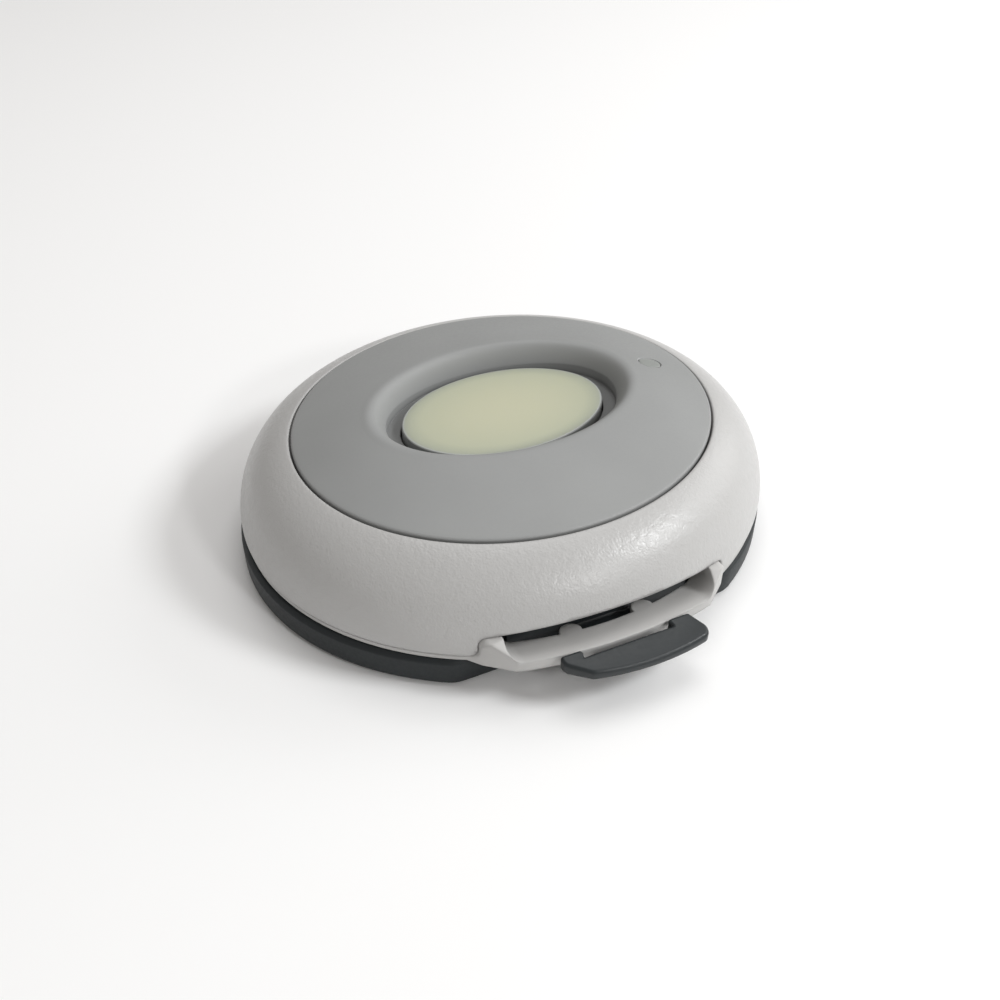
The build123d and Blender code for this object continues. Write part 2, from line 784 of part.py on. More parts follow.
# Button cap: a hollow oval cap with a skirt, a stop flange and a central plunger
with BuildPart() as button_cap:
    with BuildSketch(Plane.XY.offset(plate_bottom)):
        Ellipse(button_half_length, button_half_width)
    extrude(amount=button_top - plate_bottom)
    with BuildSketch(Plane.XY.offset(inlay_floor)):
        Ellipse(button_half_length - inlay_rim, button_half_width - inlay_rim)
    extrude(amount=inlay_depth, mode=Mode.SUBTRACT)
    with BuildSketch(Plane.XY.offset(flange_bottom)):
        Ellipse(button_half_length, button_half_width)
        Ellipse(
            button_half_length - button_skirt, button_half_width - button_skirt, mode=Mode.SUBTRACT
        )
    extrude(amount=plate_bottom - flange_bottom)
    with BuildSketch(Plane.XY.offset(flange_bottom)):
        Ellipse(button_half_length + button_flange, button_half_width + button_flange)
        Ellipse(
            button_half_length - button_skirt, button_half_width - button_skirt, mode=Mode.SUBTRACT
        )
    extrude(amount=flange_thickness)
    with BuildSketch(Plane.XY.offset(stem_top)):
        Circle(plunger_radius)
    extrude(amount=plate_bottom - stem_top)
button_cap.part.label = "button_cap"
export_step(button_cap.part, "parts/button_cap.step")

# Glow inlay: the pale plate glued into the cap's shallow pocket
with BuildPart() as glow_inlay:
    with BuildSketch(Plane.XY.offset(inlay_floor)):
        Ellipse(button_half_length - inlay_rim, button_half_width - inlay_rim)
    extrude(amount=inlay_depth)
glow_inlay.part.label = "glow_inlay"
export_step(glow_inlay.part, "parts/glow_inlay.step")

# Return skirt: a soft silicone wall that lifts the cap back off the switch
with BuildPart() as return_skirt:
    with BuildSketch(Plane.XY.offset(board_top)):
        Ellipse(button_half_length + return_skirt_wall, button_half_width + return_skirt_wall)
        Ellipse(button_half_length, button_half_width, mode=Mode.SUBTRACT)
    extrude(amount=flange_bottom - board_top)
return_skirt.part.label = "return_skirt"
export_step(return_skirt.part, "parts/return_skirt.step")

# Switch: a square housing with a bore for its round stem
with BuildPart() as switch_body:
    with BuildSketch(Plane.XY.offset(board_top)):
        RectangleRounded(switch_size, switch_size, switch_corner_radius)
    extrude(amount=switch_height)
    with BuildSketch(Plane.XY.offset(switch_top)):
        Circle(switch_stem_radius + screw_gap)
    extrude(amount=-button_travel - stop_gap - switch_stem_depth, mode=Mode.SUBTRACT)
switch_body.part.label = "switch_body"
export_step(switch_body.part, "parts/switch_body.step")

with BuildPart() as switch_stem:
    with BuildSketch(Plane.XY.offset(switch_top - switch_stem_depth)):
        Circle(switch_stem_radius)
    extrude(amount=stem_top - switch_top + switch_stem_depth)
switch_stem.part.label = "switch_stem"
export_step(switch_stem.part, "parts/switch_stem.step")

# Circuit board
with BuildPart() as circuit_board:
    with BuildSketch(Plane.XY.offset(board_height)):
        Rectangle(2 * board_half_length, 2 * board_half_width)
        Rectangle(2 * board_ear_reach, board_ear_width)
        with Locations(diagonal_places(board_screw_x, board_screw_y)):
            Circle(board_screw_radius + screw_gap, mode=Mode.SUBTRACT)
    extrude(amount=board_thickness)
circuit_board.part.label = "circuit_board"
export_step(circuit_board.part, "parts/circuit_board.step")

with BuildPart() as board_screws:
    with BuildSketch(Plane.XY.offset(board_top)):
        with Locations(diagonal_places(board_screw_x, board_screw_y)):
            Circle(board_screw_head_radius)
    extrude(amount=board_screw_head)
    with BuildSketch(Plane.XY.offset(board_top)):
        with Locations(diagonal_places(board_screw_x, board_screw_y)):
            Circle(board_screw_radius)
    extrude(amount=-board_screw_length + stop_gap)
board_screws.part.label = "board_screws"
export_step(board_screws.part, "parts/board_screws.step")

with BuildPart() as microcontroller:
    with BuildSketch(Plane.XY.offset(board_top)):
        with Locations((chip_x, 0)):
            Rectangle(chip_size, chip_size)
    extrude(amount=chip_height)
microcontroller.part.label = "microcontroller"
export_step(microcontroller.part, "parts/microcontroller.step")

with BuildPart() as radio_shield:
    with BuildSketch(Plane.XY.offset(board_top)):
        with Locations((shield_x, shield_y)):
            Rectangle(shield_length, shield_width)
    extrude(amount=shield_height)
    with BuildSketch(Plane.XY.offset(board_top)):
        with Locations((shield_x, shield_y)):
            Rectangle(shield_length - 2 * shield_wall, shield_width - 2 * shield_wall)
    extrude(amount=shield_height - shield_wall, mode=Mode.SUBTRACT)
radio_shield.part.label = "radio_shield"
export_step(radio_shield.part, "parts/radio_shield.step")

with BuildPart() as crystal:
    with BuildSketch(Plane.XY.offset(board_top)):
        with Locations((crystal_x, shield_y)):
            RectangleRounded(crystal_length, crystal_width, crystal_corner_radius)
    extrude(amount=crystal_height)
crystal.part.label = "crystal"
export_step(crystal.part, "parts/crystal.step")

with BuildPart() as antenna:
    with BuildSketch(Plane.XY.offset(board_top)):
        with Locations((antenna_x, 0)):
            Rectangle(antenna_width, antenna_length)
    extrude(amount=antenna_height)
antenna.part.label = "antenna"
export_step(antenna.part, "parts/antenna.step")

with BuildPart() as led:
    with BuildSketch(Plane.XY.offset(board_top)):
        with Locations((led_x, 0)):
            Rectangle(led_width, led_length)
    extrude(amount=led_height)
led.part.label = "led"
export_step(led.part, "parts/led.step")

with BuildPart() as chip_parts:
    with BuildSketch(Plane.XY.offset(board_top)):
        with Locations((0, small_part_y)):
            with GridLocations(small_part_pitch, 0, small_part_count, 1):
                Rectangle(small_part_width, small_part_length)
    extrude(amount=small_part_height)
chip_parts.part.label = "chip_parts"
export_step(chip_parts.part, "parts/chip_parts.step")

# Coin cell: a can with a smaller cap on its underside
with BuildPart() as coin_cell:
    with BuildSketch(Plane.XY.offset(cell_bottom + cell_cap_height)):
        Circle(cell_radius)
    extrude(amount=cell_height - cell_cap_height)
    chamfer(coin_cell.edges().group_by(Axis.Z)[0], length=cell_bevel)
    with BuildSketch(Plane.XY.offset(cell_bottom)):
        Circle(cell_cap_radius)
    extrude(amount=cell_cap_height)
coin_cell.part.label = "coin_cell"
export_step(coin_cell.part, "parts/coin_cell.step")

with BuildPart() as negative_contact:
    with BuildSketch(Plane.XY.offset(pan_deck)):
        with Locations((-contact_reach, 0)):
            Rectangle(contact_reach, contact_width, align=(Align.MIN, Align.CENTER))
    extrude(amount=contact_thickness)
    with BuildSketch(Plane.XY.offset(pan_deck)):
        with Locations((-contact_reach, 0)):
            Rectangle(contact_thickness, contact_width, align=(Align.MIN, Align.CENTER))
    extrude(amount=board_height - pan_deck)
negative_contact.part.label = "negative_contact"
export_step(negative_contact.part, "parts/negative_contact.step")

with BuildPart() as positive_contact:
    with BuildSketch(Plane.XY.offset(cell_top)):
        with Locations((contact_reach, 0)):
            Rectangle(contact_reach, contact_width, align=(Align.MAX, Align.CENTER))
    extrude(amount=contact_thickness)
    with BuildSketch(Plane.XY.offset(cell_top)):
        with Locations((contact_reach, 0)):
            Rectangle(contact_thickness, contact_width, align=(Align.MAX, Align.CENTER))
    extrude(amount=board_height - cell_top)
positive_contact.part.label = "positive_contact"
export_step(positive_contact.part, "parts/positive_contact.step")
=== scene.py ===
import bmesh
import bpy
from math import acos, atan, cos, pi, radians, sin
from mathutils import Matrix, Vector


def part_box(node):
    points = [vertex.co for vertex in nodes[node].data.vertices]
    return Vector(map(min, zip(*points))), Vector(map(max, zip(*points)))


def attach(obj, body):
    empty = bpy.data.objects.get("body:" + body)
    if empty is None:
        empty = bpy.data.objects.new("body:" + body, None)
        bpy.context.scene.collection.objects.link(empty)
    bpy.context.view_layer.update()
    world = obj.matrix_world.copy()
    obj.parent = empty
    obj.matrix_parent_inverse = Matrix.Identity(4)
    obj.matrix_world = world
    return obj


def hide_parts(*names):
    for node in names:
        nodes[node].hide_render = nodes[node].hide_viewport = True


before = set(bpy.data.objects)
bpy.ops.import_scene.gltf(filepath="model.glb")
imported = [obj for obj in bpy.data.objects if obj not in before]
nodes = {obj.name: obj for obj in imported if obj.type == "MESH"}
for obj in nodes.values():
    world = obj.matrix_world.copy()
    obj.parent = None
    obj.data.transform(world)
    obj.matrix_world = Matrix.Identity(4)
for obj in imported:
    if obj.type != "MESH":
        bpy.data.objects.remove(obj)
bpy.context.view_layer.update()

# Looks of a palm-sized panic button: grained shell, matte bezel, glowing oval button and
# dark cradle. Sizes are in millimetres and turned into metres where a mesh is made.

MM = 0.001


def box_mm(node):
    """Lowest and highest corner of a CAD node in millimetres."""
    low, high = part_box(node)
    return low / MM, high / MM


# Places read from the frame
_, shell_high = box_mm("top_shell")
_, bezel_high = box_mm("bezel")
inlay_low, inlay_high = box_mm("glow_inlay")
pipe_low, pipe_high = box_mm("light_pipe")
screw_low, screw_high = box_mm("cover_screws")
latch_low, latch_high = box_mm("latch_tab")

# Points round an oval
around = 288
plate_around = 160
window_around = 64

# Steps along the profiles
round_steps = 4
corner_steps = 8
wall_steps = 6
dome_steps = 28
arch_steps = 24
edge_steps = 8
slope_steps = 24
crest_steps = 18
scoop_steps = 14
plate_steps = 14

# Shell: from its mouth it spreads down to its widest height and tucks in below that.
# The cavity under it steps up behind a brow, over the arched cutout in front.
seam_height = shell_high.z
shell_bottom = 4.1
widest_height = shell_bottom + 0.5
shell_spread = 5.6
shell_tuck = 0.15
shell_start_angle = 17.0
mouth_half_length = shell_high.x - shell_spread
mouth_half_width = shell_high.y - shell_spread
mouth_round = 0.15
foot_round = 0.2
seat_height = seam_height - 1.3
seat_width = 1.5
roof_under = seam_height - 2.0
cavity_step_height = 6.8
brow_top = 8.35
cavity_inset = 1.95
upper_inset = 4.0
brow_front = 17.2
cutout_front = 18.4
cutout_half_width = 12.4
cutout_top = shell_bottom + 3.15
cutout_crown = 0.9
cutout_corner = 0.9
cutout_flare = 1.0

# How far the cutting shapes pass what they cut
cut_margin = 1.0
cutout_overrun = 20.0

# Bezel: a dome up to the crest, then a scoop down to the lip round the finger recess.
# The moat is the recess's groove between the lip and the button.
bezel_half_length = bezel_high.x
bezel_half_width = bezel_high.y
bezel_edge_height = seam_height + 0.15
bezel_edge_round = 0.3
crest_height = bezel_high.z
crest_half_length = mouth_half_length - 7.7
crest_half_width = mouth_half_width - 9.6
lip_half_length = crest_half_length - 1.6
lip_half_width = crest_half_width - 1.3
lip_height = seam_height + 0.2
crest_power = 1.2
scoop_power = 2.1
dome_stop = 0.88
scoop_start = 0.45
slope_sample = 0.001
end_lift = 0.5
moat_height = lip_height - 0.6
moat_floor = 1.0
moat_reach = 0.62
bezel_wall = 1.0
crease = 0.04
dome_halvings = 40

# Pale plate in the button
plate_crown = 0.14
plate_crown_power = 2.2
plate_reach = 0.36
plate_rim_round = 0.08
plate_rim_drop = 0.05
plate_proud = 0.04

# Light window: its round collar, its oval rod and the rod's top as pairs of
# a share of the rod's size and a drop under the bezel's dome
window_x = (pipe_low.x + pipe_high.x) / 2
window_half_length = 1.2
window_half_width = 0.96
window_play = 0.08
collar_radius = (pipe_high.x - pipe_low.x) / 2
collar_height = 0.8
collar_chamfer = 0.1
window_top = (
    (1.0, 0.3),
    (1.0, 0.12),
    (0.985, 0.07),
    (0.95, 0.04),
    (0.8, 0.02),
    (0.5, 0.02),
    (0.2, 0.02),
)

# Thumb tab: the slope of its top, the drop of its underside in front,
# and how near a point lies to either face to count as on it
tab_run = 3.3
tab_thickness = 0.95
tab_back_rise = 0.28
tab_front_drop = 0.3
tab_under_drop = 0.15
tab_top_band = 0.25
tab_under_band = 0.05

# Soft edges of the pieces that keep their CAD shape
cover_round = 0.16
cradle_round = 0.3
latch_round = 0.26
cap_round = 0.1
pad_round = 0.15
screw_round = 0.06
sharp_angle = 28
flat_angle = 0.4
weld_distance = 0.001

# Crosses in the cover screws' heads
screw_head_radius = 1.5
cross_half_length = 1.0
cross_half_width = 0.2
cross_depth = 0.3
cross_margin = 0.2
cross_round = 0.04


def in_scene(name, data):
    """A new object in the scene."""
    made = bpy.data.objects.new(name, data)
    bpy.context.scene.collection.objects.link(made)
    return made


def part_mesh(name, vertices, faces):
    """A new mesh object from points in millimetres."""
    mesh = bpy.data.meshes.new(name)
    mesh.from_pydata([tuple(c * MM for c in v) for v in vertices], [], faces)
    mesh.validate()
    mesh.shade_smooth()
    return in_scene(name, mesh)


def oval(half_length, half_width, height, count=around):
    """Points round an ellipse at a height."""
    turns = [2 * pi * i / count for i in range(count)]
    return [(half_length * cos(t), half_width * sin(t), height) for t in turns]


def quarter(steps):
    """Angles of a quarter turn in equal steps, with both ends."""
    return [radians(90 * i / steps) for i in range(steps + 1)]


def moved_along_x(ring, distance):
    """A ring of points moved along X."""
    return [(x + distance, y, z) for x, y, z in ring]


def joined_rings(name, rings, closed):
    """A skin through rings of equal counts; closed joins the last ring to the first."""
    count = len(rings[0])
    vertices = [point for ring in rings for point in ring]
    faces = []
    last = len(rings) if closed else len(rings) - 1
    for r in range(last):
        a = r * count
        b = ((r + 1) % len(rings)) * count
        for i in range(count):
            j = (i + 1) % count
            faces.append((a + i, a + j, b + j, b + i))
    if not closed:
        faces.append(tuple(reversed(range(count))))
        faces.append(tuple(range((len(rings) - 1) * count, len(rings) * count)))
    return part_mesh(name, vertices, faces)


def cut_out(piece, tool):
    """Takes a tool's volume out of a piece, then removes the tool."""
    cut = piece.modifiers.new("cut", "BOOLEAN")
    cut.object = tool
    cut.operation = "DIFFERENCE"
    cut.solver = "EXACT"
    bpy.context.view_layer.update()
    evaluated = piece.evaluated_get(bpy.context.evaluated_depsgraph_get())
    made = bpy.data.meshes.new_from_object(evaluated)
    piece.modifiers.clear()
    piece.data = made
    bpy.data.objects.remove(tool)


def soften(piece, width, segments=3):
    """Rounds a piece's sharp edges, as a moulded or pressed part's are."""
    bevel = piece.modifiers.new("soft edges", "BEVEL")
    bevel.width = width * MM
    bevel.segments = segments
    bevel.limit_method = "ANGLE"
    bevel.angle_limit = radians(sharp_angle)
    bevel.miter_outer = "MITER_ARC"
    bevel.harden_normals = True
    piece.data.shade_smooth()


def moulded(name, node, width, segments=3):
    """A piece with a CAD node's shape, its flat facets merged and its edges rounded."""
    shape = bmesh.new()
    shape.from_mesh(nodes[node].data)
    bmesh.ops.remove_doubles(shape, verts=shape.verts, dist=weld_distance * MM)
    bmesh.ops.dissolve_limit(
        shape, angle_limit=radians(flat_angle), verts=shape.verts, edges=shape.edges
    )
    mesh = bpy.data.meshes.new(name)
    shape.to_mesh(mesh)
    shape.free()
    piece = in_scene(name, mesh)
    soften(piece, width, segments)
    return piece


def thumb_latch():
    """The latch, its tab's top sloping from raised ears down to the front edge."""
    piece = moulded("thumb_latch", "latch_tab", latch_round, segments=4)
    top, under = latch_high.z, latch_high.z - tab_thickness
    for vertex in piece.data.vertices:
        height = vertex.co.z / MM
        share = min(1.0, (vertex.co.y / MM - latch_low.y) / tab_run)
        if height > top - tab_top_band:
            vertex.co.z += (share * (tab_back_rise + tab_front_drop) - tab_front_drop) * MM
        elif abs(height - under) < tab_under_band:
            vertex.co.z -= (1 - share) * tab_under_drop * MM
    return piece


def cover_screw_set():
    """The four cover screws, with a cross cut into the head of each."""
    piece = moulded("cover_screw_set", "cover_screws", screw_round)
    screw_x, screw_y = screw_high.x - screw_head_radius, screw_high.y - screw_head_radius
    arms = ((cross_half_width, cross_half_length), (cross_half_length, cross_half_width))
    for x, y in [(i * screw_x, j * screw_y) for i in (-1, 1) for j in (-1, 1)]:
        for half_x, half_y in arms:
            bar = [
                [
                    (x - half_x, y - half_y, z),
                    (x + half_x, y - half_y, z),
                    (x + half_x, y + half_y, z),
                    (x - half_x, y + half_y, z),
                ]
                for z in (screw_low.z - cross_margin, screw_low.z + cross_depth)
            ]
            cut_out(piece, joined_rings("bar", bar, closed=False))
    soften(piece, cross_round)
    return piece


def finished(piece, body, node, material):
    """Gives a piece its body and its material, and hides the CAD node it stands for."""
    piece.data.materials.clear()
    piece.data.materials.append(material)
    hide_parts(node)
    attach(piece, body)


# Shell skin


def spread_at(height):
    """How far the shell stands out beyond its mouth at a height."""
    if height <= widest_height:
        drop = (widest_height - height) / (widest_height - shell_bottom)
        return shell_spread - shell_tuck * drop**2
    start = radians(shell_start_angle)
    share = (seam_height - height) / (seam_height - widest_height)
    turn = acos(min(1.0, cos(start) * (1 - share)))
    return shell_spread * (sin(turn) - sin(start)) / (1 - sin(start))


def shell_profile():
    """Spread and height of the shell's outside, from its rounded foot to its rounded mouth."""
    profile = []
    foot_top = shell_bottom + foot_round
    foot = spread_at(foot_top)
    for turn in quarter(round_steps)[:-1]:
        spread = foot - foot_round * (1 - sin(turn))
        profile.append((spread, shell_bottom + foot_round * (1 - cos(turn))))
    for i in range(wall_steps):
        height = foot_top + (widest_height - foot_top) * i / wall_steps
        profile.append((spread_at(height), height))
    start = radians(shell_start_angle)
    mouth_turn = start + mouth_round / shell_spread
    for i in range(dome_steps + 1):
        turn = radians(90) - (radians(90) - mouth_turn) * i / dome_steps
        height = widest_height + (seam_height - widest_height) * cos(turn) / cos(start)
        profile.append((spread_at(height), height))
    top_spread, top_height = profile[-1]
    for turn in quarter(round_steps)[1:]:
        height = top_height - mouth_round * (1 - cos(turn))
        height += (seam_height - top_height) * sin(turn)
        profile.append((top_spread * (1 - sin(turn)), height))
    return profile


def cutout_outline():
    """Front view of the arched opening over the strap slot, as a closed run of points."""
    foot = cutout_half_width + cutout_flare
    flare_top = shell_bottom + cutout_flare
    half = [(foot, shell_bottom - cut_margin), (foot, shell_bottom)]
    for turn in quarter(corner_steps)[1:]:
        half.append((foot - cutout_flare * sin(turn), flare_top - cutout_flare * cos(turn)))
    corner = cutout_half_width - cutout_corner
    shoulder = cutout_top - cutout_crown
    for turn in quarter(corner_steps):
        height = shoulder - cutout_corner * (1 - sin(turn))
        half.append((corner + cutout_corner * cos(turn), height))
    for i in range(1, arch_steps + 1):
        x = corner * (1 - i / arch_steps)
        half.append((x, cutout_top - cutout_crown * (x / corner) ** 2))
    return half + [(-x, z) for x, z in reversed(half[:-1])]


def extruded(name, outline, y_near, y_far):
    """A prism along Y from a closed outline in X and Z."""
    count = len(outline)
    vertices = [(x, y, z) for y in (y_near, y_far) for x, z in outline]
    faces = [tuple(range(count)), tuple(reversed(range(count, 2 * count)))]
    for i in range(count):
        j = (i + 1) % count
        faces.append((i, i + count, j + count, j))
    piece = part_mesh(name, vertices, faces)
    facing = bmesh.new()
    facing.from_mesh(piece.data)
    bmesh.ops.recalc_face_normals(facing, faces=facing.faces)
    facing.to_mesh(piece.data)
    facing.free()
    return piece


def shell_skin():
    """The grained shell: a smooth dome with a rounded mouth edge and the arched opening."""
    length, width = mouth_half_length, mouth_half_width
    upper = shell_spread - upper_inset
    lower = shell_spread - cavity_inset
    seat_and_roof = [
        (0.0, seat_height),
        (-seat_width, seat_height),
        (-seat_width, roof_under),
        (upper, roof_under),
        (upper, brow_top),
    ]
    rings = [oval(length + s, width + s, z) for s, z in shell_profile() + seat_and_roof]
    for height in (brow_top, cavity_step_height):
        ring = oval(length + upper, width + upper, height)
        rings.append([(x, max(y, -brow_front), z) for x, y, z in ring])
    for height in (cavity_step_height, shell_bottom):
        rings.append(oval(length + lower, width + lower, height))
    skin = joined_rings("shell_skin", rings, closed=True)
    y_far = -(width + cutout_overrun)
    cut_out(skin, extruded("opening", cutout_outline(), -cutout_front, y_far))
    return skin


# Bezel skin


class Ring:
    """An oval ring of the bezel, raised by its lift at the ends of its long axis."""

    def __init__(self, half_length, half_width, height, lift=0.0):
        self.half_length = half_length
        self.half_width = half_width
        self.height = height
        self.lift = lift

    def points(self):
        """Points round the ring."""
        flat = oval(self.half_length, self.half_width, self.height)
        return [(x, y, z + self.lift * (x / self.half_length) ** 2) for x, y, z in flat]


def dome_ring(share):
    """The ring at a share of the way from the bezel's edge up to its crest."""
    length = bezel_half_length + (crest_half_length - bezel_half_length) * share
    width = bezel_half_width + (crest_half_width - bezel_half_width) * share
    rise = (crest_height - bezel_edge_height) * (1 - (1 - share) ** crest_power)
    return Ring(length, width, bezel_edge_height + rise)


def scoop_ring(share):
    """The ring at a share of the way from the bezel's crest down to its lip."""
    length = crest_half_length + (lip_half_length - crest_half_length) * share
    width = crest_half_width + (lip_half_width - crest_half_width) * share
    fall = (crest_height - lip_height) * share**scoop_power
    return Ring(length, width, crest_height - fall, end_lift * share**2)


def crest_blend():
    """Rings that carry the dome over a soft crest into the scoop."""
    before, after = dome_ring(dome_stop), scoop_ring(scoop_start)
    run_out = before.half_length - crest_half_length
    run_in = crest_half_length - after.half_length
    run = run_out + run_in
    rise = dome_ring(dome_stop + slope_sample).height - before.height
    fall = scoop_ring(scoop_start + slope_sample).height - after.height
    slope_out = rise / slope_sample * (1 - dome_stop) / run_out
    slope_in = fall / slope_sample * scoop_start / run_in
    rings = []
    for i in range(1, crest_steps):
        t = i / crest_steps
        along = t * run
        if along < run_out:
            ring = dome_ring(dome_stop + (1 - dome_stop) * along / run_out)
        else:
            ring = scoop_ring(scoop_start * (along - run_out) / run_in)
        # A cubic through both heights with both slopes
        height = before.height * (1 + 2 * t) * (1 - t) ** 2 + after.height * t**2 * (3 - 2 * t)
        height += run * (slope_out * t * (1 - t) ** 2 + slope_in * t**2 * (t - 1))
        ring.height = height
        rings.append(ring)
    return rings


def bezel_rings():
    """The bezel's rings, from its seat over its edge, dome and crest to its lip."""
    length, width = bezel_half_length, bezel_half_width
    rings = [Ring(length, width, seat_height)]
    run = (length - crest_half_length + width - crest_half_width) / 2
    slope = crest_power * (crest_height - bezel_edge_height) / run
    tilt = atan(slope)
    centre = bezel_edge_height + bezel_edge_round * (slope - 1 / cos(tilt))
    for i in range(edge_steps + 1):
        turn = (pi / 2 - tilt) * i / edge_steps
        inset = bezel_edge_round * (1 - cos(turn))
        height = centre + bezel_edge_round * sin(turn)
        rings.append(Ring(length - inset, width - inset, height))
    start = inset / run
    for i in range(1, slope_steps + 1):
        rings.append(dome_ring(start + (dome_stop - start) * i / slope_steps))
    rings += crest_blend()
    for i in range(scoop_steps + 1):
        rings.append(scoop_ring(scoop_start + (1 - scoop_start) * i / scoop_steps))
    return rings


def bezel_skin():
    """The matte bezel, open in the middle for the button and drilled for the light window."""
    lip = (lip_half_length, lip_half_width)
    hole = (inlay_high.x + moat_reach, inlay_high.y + moat_reach)
    moat_under = moat_height - moat_floor
    rings = [ring.points() for ring in bezel_rings()]
    rings.append(Ring(*lip, lip_height - crease, end_lift).points())
    for (length, width), spread, height in (
        (lip, 0.0, moat_height + crease),
        (lip, 0.0, moat_height),
        (lip, -crease, moat_height),
        (hole, crease, moat_height),
        (hole, 0.0, moat_height),
        (hole, 0.0, moat_under),
        (lip, bezel_wall, moat_under),
        (lip, bezel_wall, seat_height),
    ):
        rings.append(oval(length + spread, width + spread, height))
    skin = joined_rings("bezel_skin", rings, closed=True)
    bore = (window_half_length + window_play, window_half_width + window_play)
    drill = [
        moved_along_x(oval(*bore, height, window_around), window_x)
        for height in (seat_height - cut_margin, crest_height + cut_margin)
    ]
    cut_out(skin, joined_rings("drill", drill, closed=False))
    return skin


def dome_height(x, y):
    """Height of the bezel's dome over a place, found by halving the share of its ring."""
    low, high = 0.0, 1.0
    for _ in range(dome_halvings):
        share = (low + high) / 2
        ring = dome_ring(share)
        if (x / ring.half_length) ** 2 + (y / ring.half_width) ** 2 < 1:
            low = share
        else:
            high = share
    return ring.height


def window_skin():
    """The light window: an oval rod on a round collar, its soft top following the dome."""
    inner = collar_radius - collar_chamfer
    foot, top = pipe_low.z, pipe_low.z + collar_height
    sizes = [
        (inner, inner, foot),
        (collar_radius, collar_radius, foot + collar_chamfer),
        (collar_radius, collar_radius, top - collar_chamfer),
        (inner, inner, top),
        (window_half_length, window_half_width, top),
    ]
    rings = [oval(*size, window_around) for size in sizes]
    for share, drop in window_top:
        ring = oval(window_half_length * share, window_half_width * share, 0, window_around)
        rings.append([(x, y, dome_height(x + window_x, y) - drop) for x, y, _ in ring])
    rings = [moved_along_x(ring, window_x) for ring in rings]
    return joined_rings("window_rod", rings, closed=False)


def inlay_skin():
    """The pale plate: a softly crowned oval whose rounded rim reaches over the cap's."""
    length, width = inlay_high.x, inlay_high.y
    shoulder = inlay_high.z - plate_rim_drop
    rings = [oval(length, width, z, plate_around) for z in (inlay_low.z, shoulder)]
    length, width = length + plate_reach, width + plate_reach
    rings.append(oval(length, width, shoulder, plate_around))
    top = inlay_high.z + plate_proud
    for turn in quarter(round_steps):
        inset = plate_rim_round * (1 - cos(turn))
        height = top - plate_rim_round * (1 - sin(turn))
        rings.append(oval(length - inset, width - inset, height, plate_around))
    length, width = length - plate_rim_round, width - plate_rim_round
    for i in range(1, plate_steps + 1):
        # The last ring stops half a step short of the middle
        share = 1 - i / (plate_steps + 0.5)
        height = top + plate_crown * (1 - share**plate_crown_power)
        rings.append(oval(length * share, width * share, height, plate_around))
    return joined_rings("inlay_skin", rings, closed=False)


# Materials

# Plain plastic: the size of the patches in which its colour drifts,
# and how far its roughness strays
plastic_patch = 9.0
plastic_play = 0.06

# Painted shade in the recess: how far from the moat and the lip the painted shade
# starts and ends, and the factor that darkens it
painted_shade_margin = 0.1
painted_shade_factor = 0.72

# The shell's pebble grain, on lumps that are larger and deeper
pebble_patch = 12.0
pebble_dark = 0.985
pebble_light = 1.015
lump_size_ratio = 2.5
lump_depth_ratio = 1.2
glossier_lump = 0.05
duller_lump = 0.07

# Metal and its scratches
metal_patch = 1.5
metal_dark = 0.9
metal_light = 1.08
scratch_size = 0.12
scratch_depth = 0.003
glossier_scratch = 0.08
duller_scratch = 0.1

# The pale plate, its colour running from its middle (0) to its edge (1)
plate_middle = (0.52, 0.52, 0.38)
plate_stops = (
    (0.68, (0.46, 0.475, 0.355)),
    (0.955, (0.37, 0.39, 0.31)),
    (0.982, (0.41, 0.43, 0.39)),
)
plate_edge = (0.44, 0.46, 0.43)
plate_roughness = (0.36, 0.46)
plate_grain = 0.25
plate_grain_depth = 0.003

# The light window
window_dark = (0.305, 0.32, 0.305)
window_light = (0.345, 0.36, 0.345)
window_roughness = (0.3, 0.4)
haze_size = 0.4
haze_depth = 0.002


def tinted(colour, factor):
    """A colour made darker or lighter by a factor."""
    return tuple(min(1.0, c * factor) for c in colour)


